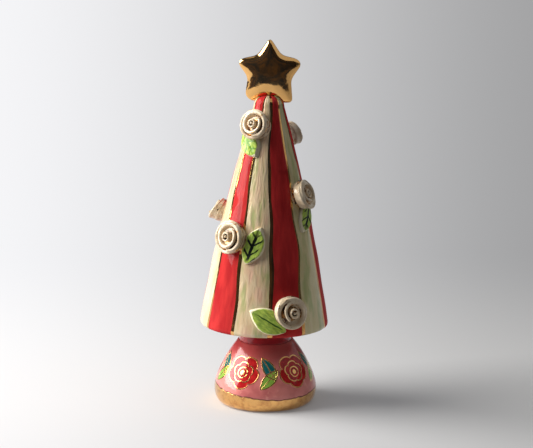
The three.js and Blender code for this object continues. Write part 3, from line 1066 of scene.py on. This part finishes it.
def petals(radius, sink, end_angle):
    """The pad and the outer petals, melted together. The wound petals rise steeply round the
    bud, lean out towards the rim, sway and ripple, and end thin, tucked in."""
    wall = PETAL_WALL_SHARE * radius
    flare = PETAL_FLARE_SHARE * radius
    first = BUD_SHARE * radius + BUD_GAP
    last = radius - flare - wall

    def path(share):
        out = min(1, share / PETAL_RIM_FROM) * 0.7 + 0.3 * share
        out = clamp(out + PETAL_SWAY * math.sin(9.2 * share + 3 * end_angle))
        ripple = PETAL_RIPPLE * math.sin(7 * share * math.pi + end_angle)
        ending = clamp((1 - share) / 0.05)
        return (
            lerp(first, last, out) - PETAL_END_TUCK * (1 - ending),
            wall * lerp(0.55, 1, ending),
            lerp(0.45, 1, out) * flare,
            0.3 * PAD_THICKNESS,
            lerp(PETAL_INNER_HEIGHT, PETAL_OUTER_HEIGHT, out) + ripple,
            0.9 * out**3,
        )

    pad = lathe(
        [
            (0, -sink),
            (PAD_FOOT_SHARE * radius, -sink),
            (PAD_FOOT_SHARE * radius, PAD_FOOT_HEIGHT),
            (PAD_RIM_SHARE * radius, 0.55 * PAD_THICKNESS),
            (0.82 * radius, PAD_THICKNESS),
            (0.5 * radius, DISH_HEIGHT),
            (0, DISH_HEIGHT),
        ],
        48,
    )
    strip = wound_strip(path, end_angle, PETAL_TURNS)
    return melted(new_mesh(*joined(pad, strip)), CLAY_GRAIN, PETAL_SMOOTHING)


def bud(radius, end_angle, height):
    """The tight curl in the middle, wound on a core with a ledge and a pin in its middle. Its
    strip runs on into the petals."""
    ledge = BUD_LEDGE_SHARE * height
    size = BUD_SHARE * radius
    foot = PAD_THICKNESS
    wall = 0.3 * size

    def path(share):
        inner = lerp(0.42 * size, size - wall, min(1, share * 1.3))
        return inner, wall, 0, foot, height - BUD_END_DROP * share, 0

    core = lathe(
        [
            (0, foot),
            (0.9 * size, foot),
            (0.9 * size, ledge),
            (0.3 * size, ledge),
            (0.27 * size, height - 0.0006),
            (0.16 * size, height - 0.0002),
            (0, height - 0.0001),
        ],
        32,
    )
    strip = wound_strip(path, end_angle + PETAL_TURNS * 2 * math.pi, BUD_TURNS)
    return melted(new_mesh(*joined(core, strip)), 0.8 * CLAY_GRAIN, BUD_SMOOTHING)


def set_hollows(meshes):
    """Marks how far down between the petals each point lies: the share of the looks out of the
    rose that clay near by blocks."""
    lumps = [
        ([v.co.copy() for v in mesh.vertices], [list(face.vertices) for face in mesh.polygons])
        for mesh in meshes
    ]
    clay = BVHTree.FromPolygons(*joined(*lumps))
    eighths = [i * math.pi / 4 for i in range(8)]
    slanted = [Vector((0.7 * math.cos(turn), 0.7 * math.sin(turn), 1)) for turn in eighths]
    looks = [look.normalized() for look in (Vector((0, 0, 1)), *slanted)]
    for mesh in meshes:
        hollows = []
        for vertex in mesh.vertices:
            spot = vertex.co + vertex.normal * CLAY_GRAIN
            free = [look for look in looks if look.dot(vertex.normal) > 0]
            blocked = sum(clay.ray_cast(spot, look, SLIT_REACH)[0] is not None for look in free)
            hollows.append(blocked / max(1, len(free)))
        set_attribute(mesh, "hollow", hollows)


def tip_face(mesh, radius, way, amount):
    """Raises the rose's face on one side and lowers it on the other."""
    for vertex in mesh.vertices:
        side = (vertex.co.x * math.cos(way) + vertex.co.y * math.sin(way)) / radius
        vertex.co.z += clamp(vertex.co.z / PETAL_OUTER_HEIGHT) * amount * side


def rose(label, spray, radius, place, sink, finish):
    end_angle = math.radians(spray.end)
    outer = petals(radius, sink, end_angle)
    curl = bud(radius, end_angle, BUD_HEIGHT - BUD_TIP_DROP * spray.tip)
    for mesh in (outer, curl):
        tip_face(mesh, radius, math.radians(spray.tip_side), spray.tip)
    set_hollows([outer, curl])
    add_piece(f"rose_{label}_outer", outer, place, [finish], f"rose_{label}_petals")
    add_piece(f"rose_{label}_curl", curl, place, [finish], f"rose_{label}_bud")


# Leaves
def drop_on_cone(spot, way, lift):
    """Slides a point along a direction, in a few steps, to a given height off the cone."""
    for _ in range(6):
        height = spot.z
        up = clamp((height - CONE_FOOT) / CONE_HEIGHT)
        slope = tangent(CONE_CURVE, up)
        gap = (math.hypot(spot.x, spot.y) - cone_radius(height)) * slope.y
        out = Vector((spot.x, spot.y, 0)).normalized() * slope.y - Vector((0, 0, slope.x))
        spot = spot - way * ((gap - lift) / max(0.2, way.dot(out)))
    return spot


def rose_radius(spray):
    return spray.size * ROSE_WIDTH / 2


def leaf_place(spray):
    """The frame of a leaf on the cone's side, with X towards its tip."""
    side = math.radians(spray.leaf_side)
    reach = 2 * spray.leaf_away * rose_radius(spray)
    up = spray.up + reach * math.sin(side) / CONE_SIDE_LENGTH
    across = reach * math.cos(side) / bezier(CONE_CURVE, up).x
    aim = Matrix.Rotation(math.radians(spray.leaf_aim), 4, "Z")
    return frame_on_cone(math.radians(spray.turn) + across, up) @ aim


def leaf_top(spot, inset, seed):
    """The height of a leaf's upper face, with its round edge, a groove and a ripple."""
    edge = math.sqrt(1 - (1 - inset) ** 2)
    groove = LEAF_GROOVE_DEPTH * math.exp(-((spot.y / LEAF_GROOVE_WIDTH) ** 2))
    ripple = LEAF_RIPPLE * noise.noise(Vector((spot.x * 300, spot.y * 300, seed)))
    return LEAF_THICKNESS * edge + (ripple - groove) * inset


def cut_round(spot, middle, cut):
    """Moves a point that lies within the cut round a rose's middle out to its edge."""
    off = spot - middle
    if off.length < cut:
        spot = middle + off.normalized() * lerp(LEAF_CUT_SPREAD * cut, cut, off.length / cut)
    return spot


def leaf(label, spray, finishes):
    place = leaf_place(spray)
    half = spray.leaf_length * LEAF_LENGTH / 2
    width = spray.leaf_width * LEAF_WIDTH
    edge_curve = [(half, 0), (0.5 * half, 0.5 * width), (-0.3 * half, 0.8 * width), (-half, 0)]
    on_cone = frame_on_cone(math.radians(spray.turn), spray.up)
    middle = place.inverted() @ on_cone.translation
    middle.z = 0
    cut = LEAF_CUT_SHARE * rose_radius(spray)
    way = place.to_3x3() @ Vector((0, 0, 1))
    upper = range(-LEAF_SIDE_STEPS, LEAF_SIDE_STEPS + 1)
    under = range(LEAF_SIDE_STEPS - 1, -LEAF_SIDE_STEPS, -1)
    rows = []
    data = {"along": [], "across": [], "edge": []}
    for i in range(1, LEAF_STEPS):
        outline = bezier(edge_curve, i / LEAF_STEPS)
        row = []
        for k, step in enumerate([*upper, *under]):
            share = math.sin(math.pi / 2 * step / LEAF_SIDE_STEPS)
            spot = Vector((outline.x, share * outline.y, 0))
            depth = (1 - abs(share)) * outline.y
            tip = min(half - outline.x, half + outline.x)
            inside = min(depth, 0.6 * tip)
            top = leaf_top(spot, clamp(inside / LEAF_EDGE_ROUND), half * 999)
            spot = cut_round(spot, middle, cut)
            row.append(drop_on_cone(place @ spot, way, top if k < len(upper) else -LEAF_SINK))
            data["along"].append(spot.x)
            data["across"].append(spot.y)
            data["edge"].append(clamp(inside / (2 * LEAF_EDGE_ROUND)))
        rows.append(row)
    tips = [sum(row, Vector()) / len(row) for row in (rows[0], rows[-1])]
    points, faces = skin([[tips[0]], *rows, [tips[1]]])
    mesh = new_mesh(points, [face[::-1] for face in faces])
    extremes = {"along": (half, -half), "across": (0, 0), "edge": (0, 0)}
    for name, values in data.items():
        set_attribute(mesh, name, [extremes[name][0], *values, extremes[name][1]])
    finish = finishes[spray.veins]
    add_piece(f"leaf_{label}_painted", mesh, tree_place, [finish], f"leaf_{label}")


def sprays():
    """The roses, each skewed its own way and bedded into the cone, with their leaves."""
    rose_finish = rose_glaze()
    leaf_finishes = {veins: leaf_glaze(f"leaf_{veins}", *look) for veins, look in VEINS.items()}
    for index, spray in enumerate(SPRAYS):
        label = f"{index + 1:02d}"
        radius = rose_radius(spray)
        on_cone = frame_on_cone(math.radians(spray.turn), spray.up)
        foot = PAD_FOOT_SHARE * radius
        sink = foot**2 / 2 / bezier(CONE_CURVE, spray.up).x + ROSE_BEDDING
        skew_way = 1.7 * index + 0.8
        skew = Matrix.Identity(4)
        skew[0][2] = ROSE_SKEW * math.sin(skew_way)
        skew[1][2] = ROSE_SKEW * math.cos(skew_way)
        place = tree_place @ on_cone @ skew
        rose(label, spray, radius, place, sink, rose_finish)
        leaf(label, spray, leaf_finishes)


# Stage
def sheet(name, points, faces, finish):
    """A flat or folded sheet for the stage."""
    mesh = bpy.data.meshes.new(name)
    mesh.from_pydata(points, [], faces)
    mesh.materials.append(finish.material)
    return put(name, mesh)


def pale_floor():
    """Pale paper, greyer on the right as painted shade. Away from the part it glows where the
    camera or a mirror sees it, so that it looks even all the way back, and this glow lights
    nothing."""
    finish = Finish("floor_paper", roughness=0.9, specular_ior_level=0.1)
    x, y, _ = finish.coordinates()
    # Painted shade: the paper and its glow turn greyer towards the right
    right = (x / (abs(y) + 0.9)).fade(-0.2, 0.2)
    finish.paint(right, FLOOR_LEFT, FLOOR_RIGHT_SHADED)
    far = (x * x * 0.12 + y * y).math("SQRT").fade(GLOW_FROM, GLOW_FULL)
    path = add_node(finish.tree, "LightPath", {})
    seen = finish.value(path.outputs["Is Camera Ray"])
    for ray in ("Is Glossy Ray", "Is Transmission Ray"):
        seen = seen.at_least(finish.value(path.outputs[ray]))
    glow = add_node(finish.tree, "Emission", {"Color": finish.mix(right, GLOW_LEFT, GLOW_RIGHT)})
    inputs = {0: far * seen, 1: finish.shader.outputs[0], 2: glow.outputs[0]}
    blend = add_node(finish.tree, "MixShader", inputs)
    output = finish.tree.nodes["Material Output"]
    feed(finish.tree, output.inputs["Surface"], blend.outputs[0])

    rim = [around(turn, FLOOR_RADIUS, 0) for turn in evenly(64)]
    floor = sheet("floor", rim, [list(range(len(rim)))], finish)


def dark_cloth(name, near, mirrored):
    """A dark cloth in front, lying and then hanging. It is either what the glaze and the gold
    mirror, or what keeps light off the front."""
    finish = Finish(name, roughness=1.0, specular_ior_level=0.0)
    # Painted light and shade: pale patches on the flat cloth stand for folds it does not have
    pale_patches = finish.noise(3)
    finish.paint(pale_patches.fade(0.4, 0.7), CLOTH_COLOUR, CLOTH_PALE_PATCHES)
    side = CLOTH_WIDTH / 2
    fold = [(-near, CLOTH_LIFT), (-CLOTH_FAR, CLOTH_LIFT), (-CLOTH_FAR, CLOTH_HEIGHT)]
    points = [(x, y, z) for y, z in fold for x in (-side, side)]
    cloth = sheet(name, points, [(0, 1, 3, 2), (2, 3, 5, 4)], finish)
    cloth.visible_camera = False
    cloth.visible_shadow = False
    cloth.visible_glossy = mirrored
    cloth.visible_diffuse = not mirrored


def lamp(name, turn, rise, size, power, colour):
    """A square soft box that faces the part."""
    data = bpy.data.lights.new(name, "AREA")
    data.size = size
    data.energy = power
    data.color = colour
    out = around(turn, math.cos(rise), math.sin(rise))
    box = put(name, data)
    box.location = LAMPS_AIM + out * LAMPS_DISTANCE
    box.rotation_euler = out.to_track_quat("Z", "Y").to_euler()


def lights():
    """A window on the left, a wall on the right that gives light back, and a little all round."""
    lamp("window", WINDOW_TURN, WINDOW_RISE, WINDOW_SIZE, WINDOW_POWER, WINDOW_COLOUR)
    lamp("far_wall", WALL_TURN, WALL_RISE, WALL_SIZE, WALL_POWER, WALL_COLOUR)
    world = bpy.context.scene.world or bpy.data.worlds.new("room")
    bpy.context.scene.world = world
    world.use_nodes = True
    room = world.node_tree.nodes["Background"]
    room.inputs["Color"].default_value = (*ROOM_COLOUR, 1)
    room.inputs["Strength"].default_value = ROOM_LIGHT


def camera():
    data = bpy.data.cameras.new("camera")
    data.sensor_width = SENSOR_WIDTH
    data.lens = FOCAL_PIXELS * SENSOR_WIDTH / IMAGE_WIDTH
    eye = put("camera", data)
    eye.location = CAMERA_PLACE
    eye.rotation_euler = (CAMERA_AIM - CAMERA_PLACE).to_track_quat("-Z", "Y").to_euler()
    bpy.context.scene.camera = eye


camera()
tree_cone()
base_bell()
collar()
star()
sprays()
clay_floor()
pale_floor()
dark_cloth("mirrored_cloth", CLOTH_MIRRORED_FROM, True)
dark_cloth("shading_cloth", CLOTH_SHADING_FROM, False)
lights()
bpy.context.scene.view_settings.view_transform = "Standard"
